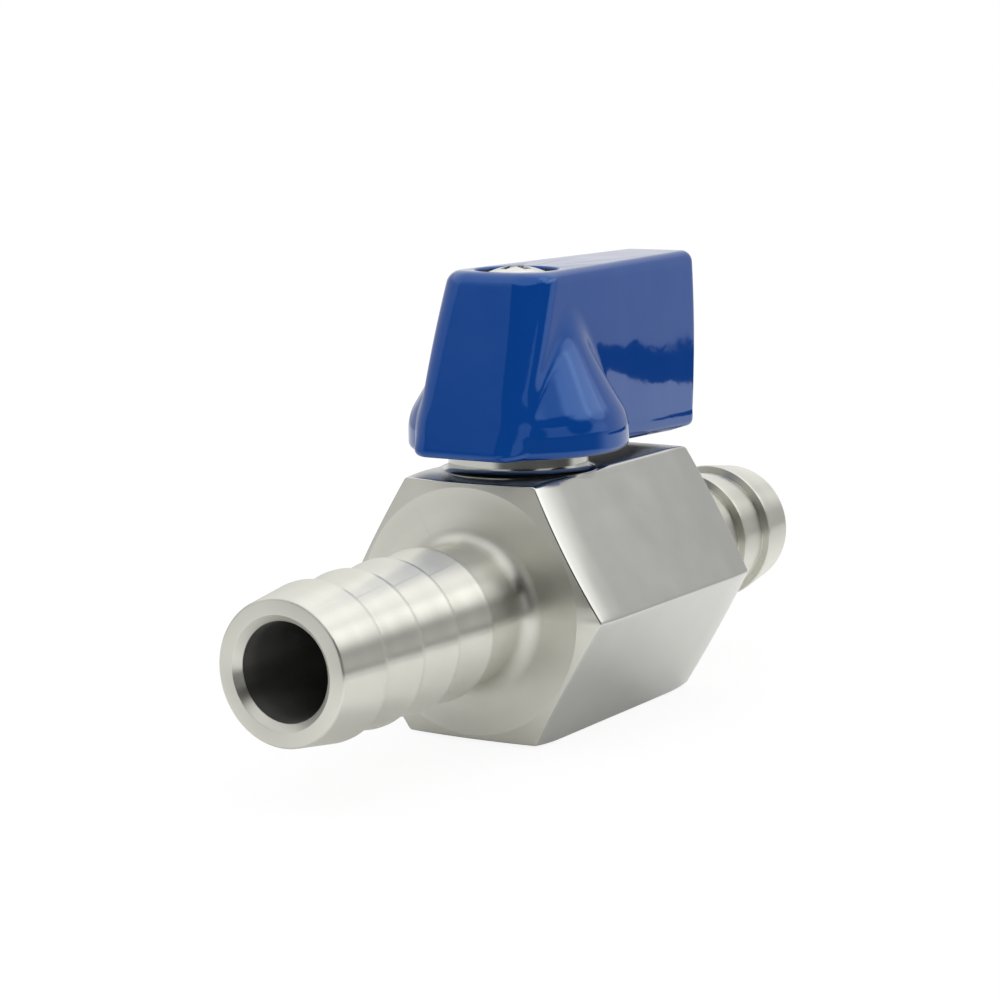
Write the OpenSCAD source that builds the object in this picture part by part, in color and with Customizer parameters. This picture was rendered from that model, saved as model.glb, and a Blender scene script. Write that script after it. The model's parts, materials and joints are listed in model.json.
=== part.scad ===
// Mini ball valve with a hose barb at each end and a blue lever.
// X runs along the flow, Z up the stem, and the origin is the centre of the ball.
// The near barb points to -X. The lever lies along +X, which is the open position.

/* [Hex body] */
// Width across the flats of the hexagonal body
hex_af = 21; // [20:0.5:24]
// Outer diameter of the turned ring on each end face, where the chamfer starts
face_d = 19.9; // [18.6:0.1:20]
// Slope of the end chamfers, from the plane of the face
chamfer_angle = 15; // [8:1:30]
// Wall between the near seat and the near end face
near_wall = 1.2; // [1.2:0.1:3]
// Length of the adapter's screwed-in collar, up to the far end face
thread_len = 8.7; // [6:0.1:12]

/* [Hose barbs] */
// Diameter of the straight bore through the whole valve
bore_d = 7.5; // [6.5:0.1:7.8]
// Diameter over the barb crests
crest_d = 12.2; // [11.8:0.1:13]
// Diameter at the small end of each barb cone
valley_d = 10.8; // [10.4:0.1:11.2]
// Diameter of the nose
nose_d = 11; // [10.6:0.1:11.4]
// Diameter of the plain neck between the barbs and the body
neck_d = 11; // [10.4:0.1:11.4]
// Length from the body's face to the steep side of the nearest crest
neck_len = 5.8; // [4:0.1:8]
// Distance from one crest to the next
barb_pitch = 4.85; // [4:0.05:6]
// Length of the narrow cylindrical land on each crest
crest_land = 0.4; // [0.3:0.05:0.8]
// Number of crests on the near barb
near_crests = 4; // [2:1:5]
// Number of crests on the far barb
far_crests = 3; // [2:1:5]
// Radius between the neck and the body's face
neck_fillet = 1.4; // [0.8:0.1:2]
// Radius on the outer edge of the nose
nose_round = 0.35; // [0.2:0.05:0.5]
// Size of the 45 degree chamfer at the mouth of the bore
mouth_chamfer = 0.55; // [0.3:0.05:0.8]

/* [Ball and seats] */
// Diameter of the ball
ball_d = 12.7; // [12.4:0.1:13]
// Radial space between the ball and the cavity wall
ball_space = 0.4; // [0.3:0.05:0.6]
// Diameter of the circle where a seat's cup meets its flat face
seat_cup_d = 10; // [9.4:0.1:10.6]
// Thickness of a seat along the flow
seat_t = 3.1; // [2.6:0.1:3.6]
// Chamfer on the back edge of a seat
seat_chamfer = 0.4; // [0.2:0.1:0.6]
// Length of the adapter's spigot, which reaches into the cavity behind the far seat
spigot_len = 2.4; // [1.8:0.1:3.5]
// Thickness of the body seal
seal_t = 0.8; // [0.6:0.1:1.2]
// Radial width of the body seal
seal_w = 1.25; // [1:0.05:1.4]

/* [Stem] */
// Diameter of the stem's shaft
stem_d = 6; // [5.6:0.1:6.4]
// Width across the flats of the square that drives the lever
square_af = 4.2; // [4:0.05:4.4]
// Diameter of the collar that keeps the stem from blowing out
collar_d = 8.4; // [7.8:0.1:8.8]
// Thickness of the collar
collar_t = 1.2; // [0.9:0.05:1.5]
// Gap between the height of the cavity's wall and the underside of the collar
collar_space = 0.1; // [0.1:0.05:0.3]
// Thickness of the thrust washer above the collar
thrust_t = 0.8; // [0.5:0.05:1]
// Thickness of the tang that turns the ball
tang_t = 2.3; // [2:0.1:2.6]
// Length of the tang across the ball
tang_len = 6.6; // [5.6:0.1:7]
// Gap between the tang and the floor of its slot
tang_play = 0.2; // [0.1:0.05:0.4]
// Wall left between the slot in the ball and the bore
slot_wall = 0.85; // [0.6:0.05:1.1]
// Height of each groove for a ring
groove_h = 1.3; // [1.3:0.05:1.5]
// Depth of each groove for a ring
groove_depth = 0.75; // [0.6:0.05:0.9]
// Height of each ring's section when squeezed in its groove
ring_h = 1.2; // [1:0.05:1.25]
// Gap left on each side of a squeezed ring
ring_fit = 0.02; // [0.01:0.01:0.05]

/* [Boss and stop] */
// Diameter of the boss that the stem comes out of
boss_d = 11.4; // [11:0.1:12]
// Radius between the boss and the top flat
boss_fillet = 0.7; // [0.4:0.1:1]
// Chamfer on the top edge of the boss
boss_chamfer = 0.3; // [0.1:0.05:0.4]
// Height of the boss above the top flat
boss_h = 3.4; // [3:0.1:4.5]
// Height of the stop above the boss
stop_h = 1.4; // [1:0.1:2]
// Distance from the edge of the boss to the stop
stop_inset = 0.6; // [0.5:0.1:1]
// Inner diameter of the stop
stop_bore_d = 7.2; // [6.8:0.1:7.6]
// Angle that the lever turns from open to closed
travel = 90; // [80:1:95]
// Angle that the lever's own stop spans
lever_stop_angle = 100; // [60:5:120]
// Angle left at each end of the travel
stop_play = 1; // [0.5:0.5:3]

/* [Lever] */
// Height of the lever
lever_h = 14.3; // [13:0.1:18]
// Gap between the top flat and the underside of the skirt
lever_lift = 1.7; // [1.2:0.1:2]
// How much lower the underside of the bar is at its far end
far_drop = 1; // [0:0.1:1]
// Distance from the stem's axis to the far end of the lever
lever_reach = 24.4; // [20:0.1:40]
// Distance from the stem's axis to the lever's near face, at the top
near_top = 4.7; // [4.5:0.1:6]
// Distance from the stem's axis to the lever's near face, at the bottom
near_bottom = 9.1; // [8.2:0.1:9.4]
// Width of the lever's top at its near end
near_w = 9.7; // [9:0.1:11]
// Width of the lever's top at its far end
far_w = 6.9; // [6:0.1:9]
// Draft of the lever's sides, which makes it wider at the bottom
side_draft = 0.5; // [0:0.25:2]
// Radius of the upright edges of the near face
near_corner = 2.2; // [1.6:0.1:2.6]
// Radius of the upright edges of the far end
far_corner = 1.1; // [1.1:0.1:2]
// Radius along the upper edges of the lever
lever_round = 0.9; // [0.5:0.1:1.1]
// Radius along the lower edges of the lever and of its skirt
lower_round = 0.6; // [0.3:0.1:0.8]
// Thickness of the wall round the pocket in the underside of the bar
lever_wall = 1.5; // [1.2:0.1:2]
// Thickness of the lever's top above that pocket
lever_roof = 2; // [1.5:0.1:3]
// Radius of the upright edges in the pocket
pocket_corner = 0.8; // [0.4:0.1:1]
// Outer diameter of the skirt round the boss
skirt_d = 17.8; // [17:0.1:20]
// Height of the skirt's straight side, up to where the bell starts
skirt_h = 2.1; // [1.5:0.1:3]
// Angle of the bell above the skirt, from the upright
bell_angle = 24.6; // [20:0.1:30]
// Radius between the skirt and the bell
bell_round = 3; // [1:0.5:5]
// Radial space between the boss and the skirt
skirt_space = 0.5; // [0.3:0.1:0.8]

/* [Lever screw] */
// Diameter of the recess in the top of the lever
recess_d = 6.7; // [6.5:0.1:7.2]
// Depth of the recess
recess_depth = 2.4; // [2.2:0.1:3]
// Diameter of the screw's thread
screw_d = 3; // [2.6:0.1:3.2]
// Chamfer at the screw's tip
screw_chamfer = 0.4; // [0.2:0.1:0.6]
// Length of the screw under its head
screw_len = 8; // [6:0.5:8]
// Diameter of the screw's head
head_d = 5.6; // [5:0.1:6]
// Height of the screw's head
head_h = 2.2; // [1.8:0.1:2.4]
// Share of the head's height that is its upright side, below the dome
head_side = 0.65; // [0.3:0.05:0.8]
// Width of each arm of the cross recess
cross_w = 0.8; // [0.5:0.1:1]
// Length of the cross recess from tip to tip
cross_len = 3; // [2:0.1:3.4]
// Depth of the cross recess
cross_depth = 1.3; // [0.8:0.1:1.6]
// Diameter of the washer under the head
washer_d = 6; // [5.8:0.1:6.2]
// Thickness of that washer
washer_t = 0.5; // [0.3:0.05:0.6]
// Radial space between that washer and the screw
washer_play = 0.1; // [0.05:0.05:0.2]

/* [Fits] */
// Radial clearance of sliding and screwed fits
slide_fit = 0.05; // [0.02:0.01:0.08]
// Gap between flat faces that turn past each other
turn_gap = 0.3; // [0.2:0.05:0.5]

/* [Hidden] */
$fn = 96;
steel = [0.78, 0.77, 0.74];
bright_steel = [0.86, 0.86, 0.86];
ptfe = [0.95, 0.95, 0.93];
rubber = [0.12, 0.12, 0.13];
coating = [0.08, 0.24, 0.52];

bore_r = bore_d / 2;
ball_r = ball_d / 2;
cavity_r = ball_r + ball_space;
cup_r = ball_r + slide_fit;
seat_face = sqrt(ball_r * ball_r - seat_cup_d * seat_cup_d / 4);
seat_back = seat_face + seat_t;
near_face = seat_back + near_wall;
shoulder = seat_back + spigot_len;
seal_floor = shoulder - seal_t;
thread_r = cavity_r + seal_w;
far_face = shoulder + thread_len;
near_nose = near_face + neck_len + near_crests * barb_pitch;
far_nose = far_face + neck_len + far_crests * barb_pitch;

flat_z = hex_af / 2;
boss_top = flat_z + boss_h;
stop_top = boss_top + stop_h;
ceiling = stop_top + turn_gap;
stem_r = stem_d / 2;
slot_floor = bore_r + slot_wall;
collar_floor = cavity_r + collar_space;
collar_top = collar_floor + collar_t;
washer_floor = collar_top + slide_fit;
pocket_top = washer_floor + thrust_t;
pocket_r = collar_d / 2 + slide_fit;
groove_land = (boss_top - pocket_top - 2 * groove_h) / 3;
ring_w = groove_depth + slide_fit - 2 * ring_fit;

lever_z = flat_z + lever_lift;
lever_top = lever_z + lever_h;
screw_seat = lever_top - recess_depth;
stem_top = screw_seat - turn_gap;
skirt_r = skirt_d / 2;
hollow_r = boss_d / 2 + skirt_space;
head_seat = screw_seat + washer_t;
screw_tip = head_seat - screw_len;
// How far joined solids reach into each other, how far a cut reaches past what it cuts, and how deep
// the boss is rooted in the hex
overlap = 0.3;
beyond = 1;
boss_root = 1.5;

// Points of an arc from angle a to angle b, in steps of a few degrees
function arc(cx, cy, r, a, b, steps = 8) =
    [for (i = [0:steps]) let (t = a + (b - a) * i / steps) [cx + r * cos(t), cy + r * sin(t)]];

// One barb seen from the face of the body, as [radius, distance]: the nearest crest comes first
function crests(count) =
    [for (i = [0:count - 1]) let (d = neck_len + i * barb_pitch)
        each [[i == 0 ? neck_d / 2 : valley_d / 2, d], [crest_d / 2, d], [crest_d / 2, d + crest_land]]];

// Outline of a barb, from the root of its fillet to the edge of its bore
function barb_outline(count) =
    let (end = neck_len + count * barb_pitch)
    concat(arc(neck_d / 2 + neck_fillet, neck_fillet, neck_fillet, 270, 180),
           crests(count),
           arc(nose_d / 2 - nose_round, end - nose_round, nose_round, 0, 90, 5),
           [[0, end]]);

// Turns an outline of [radius, x] points about the flow axis
module turned(points) {
    rotate([0, 90, 0])
        rotate_extrude()
            polygon(points);
}

// Turns an outline of [radius, z] points about the stem's axis
module upright(points) {
    rotate_extrude()
        polygon(points);
}

// A ring or tube about the flow axis
module tube_x(outer_r, inner_r, from_x, to_x) {
    turned([[inner_r, from_x], [outer_r, from_x], [outer_r, to_x], [inner_r, to_x]]);
}

// A block of a ring about the stem's axis, between two angles
module sector(inner_r, outer_r, from_z, height, start, span) {
    rotate([0, 0, start])
        rotate_extrude(angle = span)
            translate([inner_r, from_z])
                square([outer_r - inner_r, height]);
}

// The straight bore with the chamfer at its mouth, from x = 0 out to a nose
module bore_cut(nose) {
    turned([[0, -beyond], [bore_r, -beyond], [bore_r, nose - mouth_chamfer], [bore_r + mouth_chamfer, nose],
            [bore_r + mouth_chamfer, nose + beyond], [0, nose + beyond]]);
}

// Hexagonal bar with its two end faces chamfered
module hex_bar() {
    corner_r = hex_af / sqrt(3) + beyond;
    drop = (corner_r - face_d / 2) * tan(chamfer_angle);
    intersection() {
        translate([-near_face, 0, 0])
            rotate([0, 90, 0])
                rotate([0, 0, 30])
                    cylinder(r = hex_af / sqrt(3), h = near_face + far_face, $fn = 6);
        turned([[0, -near_face], [face_d / 2, -near_face], [corner_r, -near_face + drop],
                [corner_r, far_face - drop], [face_d / 2, far_face], [0, far_face]]);
    }
}

// Boss on the top flat, with a fillet at its foot and a small chamfer at its top
module boss() {
    r = boss_d / 2;
    foot_r = r + boss_fillet;
    upright(concat([[0, flat_z - boss_root], [foot_r, flat_z - boss_root]],
                   arc(foot_r, flat_z + boss_fillet, boss_fillet, 270, 180),
                   [[r, boss_top - boss_chamfer], [r - boss_chamfer, boss_top], [0, boss_top]]));
}

// The raised part of a ring on the boss that the lever's own stop runs between
module body_stop() {
    sector(stop_bore_d / 2, boss_d / 2 - stop_inset, boss_top - overlap, stop_h + overlap,
           180 + lever_stop_angle / 2 + stop_play, 360 - lever_stop_angle - travel - 2 * stop_play);
}

module body() {
    color(steel)
        difference() {
            union() {
                hex_bar();
                mirror([1, 0, 0])
                    translate([near_face, 0, 0])
                        turned(concat([[0, -overlap], [neck_d / 2 + neck_fillet, -overlap]],
                                      barb_outline(near_crests)));
                boss();
                body_stop();
            }
            mirror([1, 0, 0])
                bore_cut(near_nose);
            tube_x(cavity_r, 0, -seat_back, seal_floor + overlap);
            tube_x(thread_r + slide_fit, 0, seal_floor, far_face + beyond);
            cylinder(r = pocket_r, h = pocket_top);
            cylinder(r = stem_r + slide_fit, h = stop_top + beyond);
        }
}

module end_adapter() {
    color(steel)
        difference() {
            union() {
                turned([[0, seat_back], [cavity_r - slide_fit, seat_back], [cavity_r - slide_fit, shoulder],
                        [thread_r, shoulder], [thread_r, far_face], [0, far_face]]);
                translate([far_face, 0, 0])
                    turned(concat([[0, -overlap], [neck_d / 2 + neck_fillet, -overlap]],
                                  barb_outline(far_crests)));
            }
            bore_cut(far_nose);
        }
}

module ball() {
    color(bright_steel)
        difference() {
            sphere(r = ball_r);
            rotate([0, 90, 0])
                cylinder(r = bore_r, h = 2 * ball_d, center = true);
            translate([-tang_t / 2 - slide_fit, -ball_d, slot_floor])
                cube([tang_t + 2 * slide_fit, 2 * ball_d, ball_r]);
        }
}

// A seat on the +X side: a ring with a cup for the ball
module seat() {
    outer_r = cavity_r - slide_fit;
    color(ptfe)
        difference() {
            turned([[bore_r, seat_face], [outer_r, seat_face], [outer_r, seat_back - seat_chamfer],
                    [outer_r - seat_chamfer, seat_back], [bore_r, seat_back]]);
            sphere(r = cup_r);
        }
}

module seat_near() {
    mirror([1, 0, 0])
        seat();
}

module seat_far() {
    seat();
}

module body_seal() {
    color(ptfe)
        tube_x(thread_r, cavity_r, seal_floor, shoulder);
}

// The groove for ring number i, counted from below
function groove_z(i) = pocket_top + groove_land * (i + 1) + groove_h * i;

module stem() {
    groove_r = stem_r - groove_depth;
    tang_z = slot_floor + tang_play;
    color(bright_steel)
        difference() {
            union() {
                intersection() {
                    translate([-tang_t / 2, -tang_len / 2, tang_z])
                        cube([tang_t, tang_len, collar_floor - tang_z + overlap]);
                    cylinder(r = tang_len / 2, h = collar_top);
                }
                upright([[0, collar_floor], [collar_d / 2, collar_floor], [collar_d / 2, collar_top],
                         [stem_r, collar_top],
                         for (i = [0, 1]) each [[stem_r, groove_z(i)], [groove_r, groove_z(i)],
                                                [groove_r, groove_z(i) + groove_h],
                                                [stem_r, groove_z(i) + groove_h]],
                         [stem_r, ceiling], [0, ceiling]]);
                translate([-square_af / 2, -square_af / 2, ceiling - overlap])
                    cube([square_af, square_af, stem_top - ceiling + overlap]);
            }
            translate([0, 0, screw_tip - beyond])
                cylinder(r = screw_d / 2 + slide_fit, h = stem_top);
        }
}

module thrust_washer() {
    color(ptfe)
        upright([[stem_r + slide_fit, washer_floor], [pocket_r - slide_fit, washer_floor],
                 [pocket_r - slide_fit, pocket_top], [stem_r + slide_fit, pocket_top]]);
}

// A ring squeezed in its groove: its section has flat sides and round ends
module stem_ring(i) {
    end_r = ring_w / 2;
    straight = ring_h - ring_w;
    color(rubber)
        translate([0, 0, groove_z(i) + groove_h / 2])
            rotate_extrude()
                translate([stem_r - groove_depth + ring_fit + end_r, 0])
                    union() {
                        translate([0, straight / 2])
                            circle(r = end_r);
                        translate([0, -straight / 2])
                            circle(r = end_r);
                        square([ring_w, straight], center = true);
                    }
}

module stem_ring_lower() {
    stem_ring(0);
}

module stem_ring_upper() {
    stem_ring(1);
}

// One rounded corner of the lever: a disc whose rim is round
module lever_corner(x, y, z, r, rim) {
    translate([x, y, z])
        rotate_extrude($fn = 32)
            intersection() {
                translate([r - rim, 0])
                    circle(r = rim, $fn = 24);
                translate([0, -rim])
                    square([r, 2 * rim]);
            }
}

// The lever's tapered bar, with its near face leaning out towards the bottom
module lever_bar() {
    hull()
        for (side = [-1, 1]) {
            low = lever_z + lower_round;
            high = lever_top - lever_round;
            near_y = near_w / 2 - near_corner;
            far_y = far_w / 2 - far_corner;
            spread = (high - low) * tan(side_draft);
            lever_corner(near_corner - near_bottom, side * (near_y + spread), low, near_corner, lower_round);
            lever_corner(near_corner - near_top, side * near_y, high, near_corner, lever_round);
            lever_corner(lever_reach - far_corner, side * (far_y + spread), low - far_drop, far_corner,
                         lower_round);
            lever_corner(lever_reach - far_corner, side * far_y, high, far_corner, lever_round);
        }
}

// Everything behind the plane of the leaning near face, which trims the bell
module behind_near_face() {
    low = lever_z + lower_round;
    high = lever_top - lever_round;
    lean = (near_bottom - near_top) / (high - low);
    rotate([90, 0, 0])
        linear_extrude(height = 2 * skirt_d, center = true)
            polygon([[-near_bottom - lean * lower_round, lever_z], [skirt_d, lever_z],
                     [skirt_d, lever_top], [-near_top + lean * lever_round, lever_top]]);
}

// Skirt and bell: a straight skirt, a rounded shoulder and a cone that fades into the bar
module bell() {
    bend = bell_round * tan(bell_angle / 2);
    tip_z = lever_top - lever_round;
    tip_r = max(lever_round, skirt_r - (tip_z - lever_z - skirt_h) * tan(bell_angle));
    upright(concat([[0, lever_z]],
                   arc(skirt_r - lower_round, lever_z + lower_round, lower_round, -90, 0, 5),
                   arc(skirt_r - bell_round, lever_z + skirt_h - bend, bell_round, 0, bell_angle),
                   [[tip_r, tip_z], [0, tip_z]]));
}

// Half the width of the bar at a distance from the stem's axis
function bar_half(x) = near_w / 2 - (near_w - far_w) / 2 * (x + near_top) / (lever_reach + near_top);

// Pocket in the underside of the bar, from the hollow round the boss to the far end
module bar_pocket() {
    from_x = hollow_r + lever_wall;
    to_x = lever_reach - lever_wall;
    from_y = bar_half(from_x) - lever_wall - pocket_corner;
    to_y = bar_half(to_x) - lever_wall - pocket_corner;
    translate([0, 0, flat_z])
        linear_extrude(height = lever_top - lever_roof - flat_z)
            polygon(concat(arc(to_x - pocket_corner, to_y, pocket_corner, 0, 90, 5),
                           arc(from_x + pocket_corner, from_y, pocket_corner, 90, 180, 5),
                           arc(from_x + pocket_corner, -from_y, pocket_corner, 180, 270, 5),
                           arc(to_x - pocket_corner, -to_y, pocket_corner, 270, 360, 5)));
}

module lever() {
    color(coating) {
        difference() {
            union() {
                lever_bar();
                intersection() {
                    bell();
                    behind_near_face();
                }
            }
            translate([0, 0, flat_z])
                cylinder(r = hollow_r, h = ceiling - flat_z);
            translate([0, 0, screw_seat])
                cylinder(r = recess_d / 2, h = recess_depth + beyond);
            bar_pocket();
            translate([-square_af / 2 - slide_fit, -square_af / 2 - slide_fit, ceiling - beyond])
                cube([square_af + 2 * slide_fit, square_af + 2 * slide_fit, lever_h]);
        }
        sector(stop_bore_d / 2, hollow_r + overlap, boss_top + turn_gap, stop_h + overlap,
               180 - lever_stop_angle / 2, lever_stop_angle);
    }
}

module lever_washer() {
    color(bright_steel)
        upright([[screw_d / 2 + washer_play, screw_seat], [washer_d / 2, screw_seat],
                 [washer_d / 2, head_seat], [screw_d / 2 + washer_play, head_seat]]);
}

// Pan head with a domed top and a cross recess
module lever_screw() {
    dome_h = head_h * (1 - head_side);
    dome_r = (head_d * head_d / 4 + dome_h * dome_h) / (2 * dome_h);
    dome_angle = asin(head_d / 2 / dome_r);
    color(bright_steel)
        difference() {
            upright(concat([[0, screw_tip], [screw_d / 2 - screw_chamfer, screw_tip],
                            [screw_d / 2, screw_tip + screw_chamfer],
                            [screw_d / 2, head_seat], [head_d / 2, head_seat]],
                           arc(0, head_seat + head_h - dome_r, dome_r, 90 - dome_angle, 90, 10)));
            for (turn = [45, 135])
                rotate([0, 0, turn])
                    translate([-cross_len / 2, -cross_w / 2, head_seat + head_h - cross_depth])
                        cube([cross_len, cross_w, head_h]);
        }
}

body();
end_adapter();
ball();
seat_near();
seat_far();
body_seal();
stem();
thrust_washer();
stem_ring_lower();
stem_ring_upper();
lever();
lever_washer();
lever_screw();
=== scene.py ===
import json
import math

import bmesh
import bpy
import numpy as np
from mathutils import Matrix, Vector


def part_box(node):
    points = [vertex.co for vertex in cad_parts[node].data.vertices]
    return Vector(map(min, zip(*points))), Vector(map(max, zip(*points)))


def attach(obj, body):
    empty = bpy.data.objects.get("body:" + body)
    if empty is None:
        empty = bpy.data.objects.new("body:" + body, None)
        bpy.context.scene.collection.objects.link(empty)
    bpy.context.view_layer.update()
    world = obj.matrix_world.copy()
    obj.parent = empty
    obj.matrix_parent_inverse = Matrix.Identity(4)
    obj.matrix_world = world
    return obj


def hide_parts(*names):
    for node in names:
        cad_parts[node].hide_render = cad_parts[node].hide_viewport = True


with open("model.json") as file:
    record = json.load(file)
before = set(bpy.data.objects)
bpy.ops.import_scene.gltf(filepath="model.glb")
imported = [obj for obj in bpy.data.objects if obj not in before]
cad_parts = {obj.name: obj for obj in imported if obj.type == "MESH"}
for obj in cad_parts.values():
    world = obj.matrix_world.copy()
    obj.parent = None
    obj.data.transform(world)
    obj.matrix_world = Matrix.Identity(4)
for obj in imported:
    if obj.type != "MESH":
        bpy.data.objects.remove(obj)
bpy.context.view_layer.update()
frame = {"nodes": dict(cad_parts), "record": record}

# Sizes are in millimetres. X runs along the flow, Z up the stem, and the near barb points to -X.
MM = 0.001


def size_box(node):
    """Lowest and highest corner of a CAD node in millimetres."""
    low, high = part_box(node)
    return low / MM, high / MM


mounts = {m["name"]: m for m in frame["record"]["mounts"]}
body_low, body_high = size_box("body")
adapter_low, adapter_high = size_box("end_adapter")
seat_low = size_box("seat_near")[0]
seal_low, seal_high = size_box("body_seal")
thrust_high = size_box("thrust_washer")[1]
lever_low, lever_high = size_box("lever")
washer_low, washer_high = size_box("lever_washer")
screw_low, screw_high = size_box("lever_screw")

# Hexagon. FLAT is half its width over flats and HALF_SIDE half the angle that a side takes up. The ends of
# the flats roll off by ROLL_DROP over ROLL_LEN, with points at these shares of that length
FLAT = -body_low.z
NEAR_NOSE = -body_low.x
FAR_NOSE = adapter_high.x
FAR_FACE = body_high.x
NEAR_WALL = 1.2
NEAR_FACE = -seat_low.x + NEAR_WALL
FACE_R = 9.95
FACE_EDGE = 0.12
CHAMFER_ANGLE = math.radians(15)
HALF_SIDE = math.radians(30)
EDGE_R = 0.15
CORNER_R = 0.45
ROLL_LEN = 3.6
ROLL_DROP = 0.21
ROLL_SHARES = (0.85, 0.7, 0.55, 0.4, 0.25, 0.1, 0)
FLAT_POINTS = 27
CORNER_POINTS = 9

# Barbs and bore
BORE_R = mounts["flow_bore"]["dims"]["r_mm"]
CREST_R = mounts["near_barb"]["dims"]["r_mm"]
VALLEY_R = 5.4
NECK_R = 5.5
NOSE_R = 5.5
NECK_LEN = 5.8
NECK_FILLET = 1.4
NEAR_CRESTS = 4
FAR_CRESTS = 3
BARB_PITCH = 4.85
CREST_LAND = 0.4
LAND_ROUND = 0.15
CREST_EDGE = 0.08
ROOT_ROUND = 0.06
NOSE_EDGE = 0.2
MOUTH_CHAMFER = 0.55
MOUTH_EDGE = 0.06
MOUTH_ROUND = 0.1
THREAD_R = -seal_low.y
THREAD_CHAMFER = 0.2
SEAL_WIDTH = 1.25
CAVITY_R = THREAD_R - SEAL_WIDTH
FIT = 0.05

# Boss, its stop and the stem's hole. The stop's ends are in degrees round the stem, the cut for the hole
# reaches past the boss by HOLE_SPARE, and faces whose normals rise above UPWARD make up the top flat
BOSS_R = 5.7
BOSS_CORE_R = 0.5
BOSS_FILLET = 0.7
BOSS_EDGE = 0.3
BOSS_ROOT = 1.3
BOSS_TOP = FLAT + 3.4
STOP_INSET = 0.6
STOP_ROOT = 0.3
STOP_H = 1.4
STOP_START = 231
STOP_END = 399
POCKET_R = 4.25
STEM_R = 3.0
HOLE_BOTTOM = 0.3
HOLE_SPARE = 3
UPWARD = 0.98

# Lever
LEVER_TOP = lever_high.z
LEVER_BOTTOM = 12.2
FAR_DROP = LEVER_BOTTOM - lever_low.z
LEVER_ROUND = 0.9
LOWER_ROUND = 0.6
LEVER_WALL = 1.5
LEVER_ROOF = 2.0
POCKET_CORNER = 0.8
NEAR_TOP = 4.7
NEAR_BOTTOM = 9.1
NEAR_HALF = 4.85
FAR_HALF = 3.45
SIDE_CROWN = 0.25
BEAD = 0.05
BEAD_H = 1.6
BEAD_FADE = 0.9
NEAR_CORNER = 2.7
NEAR_CORNER_LOW = 1.8
FAR_CORNER = 1.1
SKIRT_R = lever_high.y
SKIRT_H = 2.7
BELL_ANGLE = math.radians(31.8)
BELL_FLARE = 0.0137
BELL_ROUND = 4.0
LEAST_R = 0.1
CREASE = 0.7
HOLLOW_R = 6.2
HOLLOW_CHAMFER = 0.2
CEILING = 15.6
STOP_FLOOR = 14.2
STOP_BORE_R = 3.6
STOP_HALF_ANGLE = math.radians(50)
SQUARE_HALF = 2.15
SCREW_SEAT = washer_low.z
RECESS_R = 3.35
RECESS_LIP = 0.22
# The drop of the underside starts this many degrees to the side of the far end, and is full this many nearer
DROP_START = 75
DROP_FADE = 30
# Points round the stem's axis on half of the lever, in degrees: from, to and how many
LEVER_RUNS = ((0, 5.2, 5), (5.4, 10, 30), (10.6, 24, 16), (24.8, 179.2, 190))
SQUARE_CORNERS = (45, 135)
EDGE_ROWS = 9
SIDE_ROWS = 72
LIP_ROWS = 6
HULL_NORMALS = 721

# Screw. The dome takes up DOME_SHARE of the head's height, and its points start at DOME_START of the head's
# radius. The cross recess has a half length and half width for its arms at its bottom and at its mouth
SHAFT_R = 1.5
SHAFT_TIP = 0.4
DOME_SHARE = 0.35
DOME_START = 0.9
DOME_POINTS = 10
HEAD_EDGE = 0.12
DOME_EDGE = 0.25
CROSS_DEPTH = 1.3
CROSS_SPARE = 0.5
CROSS_BOTTOM = (0.8, 0.24)
CROSS_MOUTH = (1.85, 0.48)
CROSS_TURN = 70


# Materials

def new_material(name):
    """A material with its node tree, its Principled shader and a function that adds nodes."""
    material = bpy.data.materials.new(name)
    material.use_nodes = True
    tree = material.node_tree
    shader = tree.nodes["Principled BSDF"]

    def add(kind, links=None, **values):
        node = tree.nodes.new(kind)
        for key, value in values.items():
            if key in node.inputs:
                node.inputs[key].default_value = value
            else:
                setattr(node, key, value)
        for socket, source in (links or {}).items():
            tree.links.new(source, node.inputs[socket])
        return node

    def link(source, socket):
        tree.links.new(source, shader.inputs[socket])

    return material, shader, add, link


def spread(add, noise, low, high):
    """Maps the usual range of a noise to another one, with the ends held."""
    node = add("ShaderNodeMapRange", {"Value": noise})
    for key, value in (("From Min", 0.3), ("From Max", 0.7), ("To Min", low), ("To Max", high)):
        node.inputs[key].default_value = value
    return node.outputs["Result"]


def tint(add, factor, dark, light):
    """Mixes two colours by a factor. A Mix node has its colours at inputs 6 and 7 and at output 2."""
    node = add("ShaderNodeMix", data_type="RGBA")
    node.inputs[6].default_value = (*dark, 1)
    node.inputs[7].default_value = (*light, 1)
    node.id_data.links.new(factor, node.inputs[0])
    return node.outputs[2]


def turned_coordinates(add):
    """The place along the flow axis and the distance from it: constant round each turned circle."""
    place = add("ShaderNodeTexCoord").outputs["Object"]
    parts = add("ShaderNodeSeparateXYZ", {"Vector": place})
    squares = [add("ShaderNodeMath", {0: parts.outputs[axis], 1: parts.outputs[axis]}, operation="MULTIPLY")
               for axis in ("Y", "Z")]
    total = add("ShaderNodeMath", {0: squares[0].outputs[0], 1: squares[1].outputs[0]}, operation="ADD")
    radius = add("ShaderNodeMath", {0: total.outputs[0]}, operation="SQRT")
    return add("ShaderNodeCombineXYZ", {"X": parts.outputs["X"], "Y": radius.outputs[0]}).outputs[0], place


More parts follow.
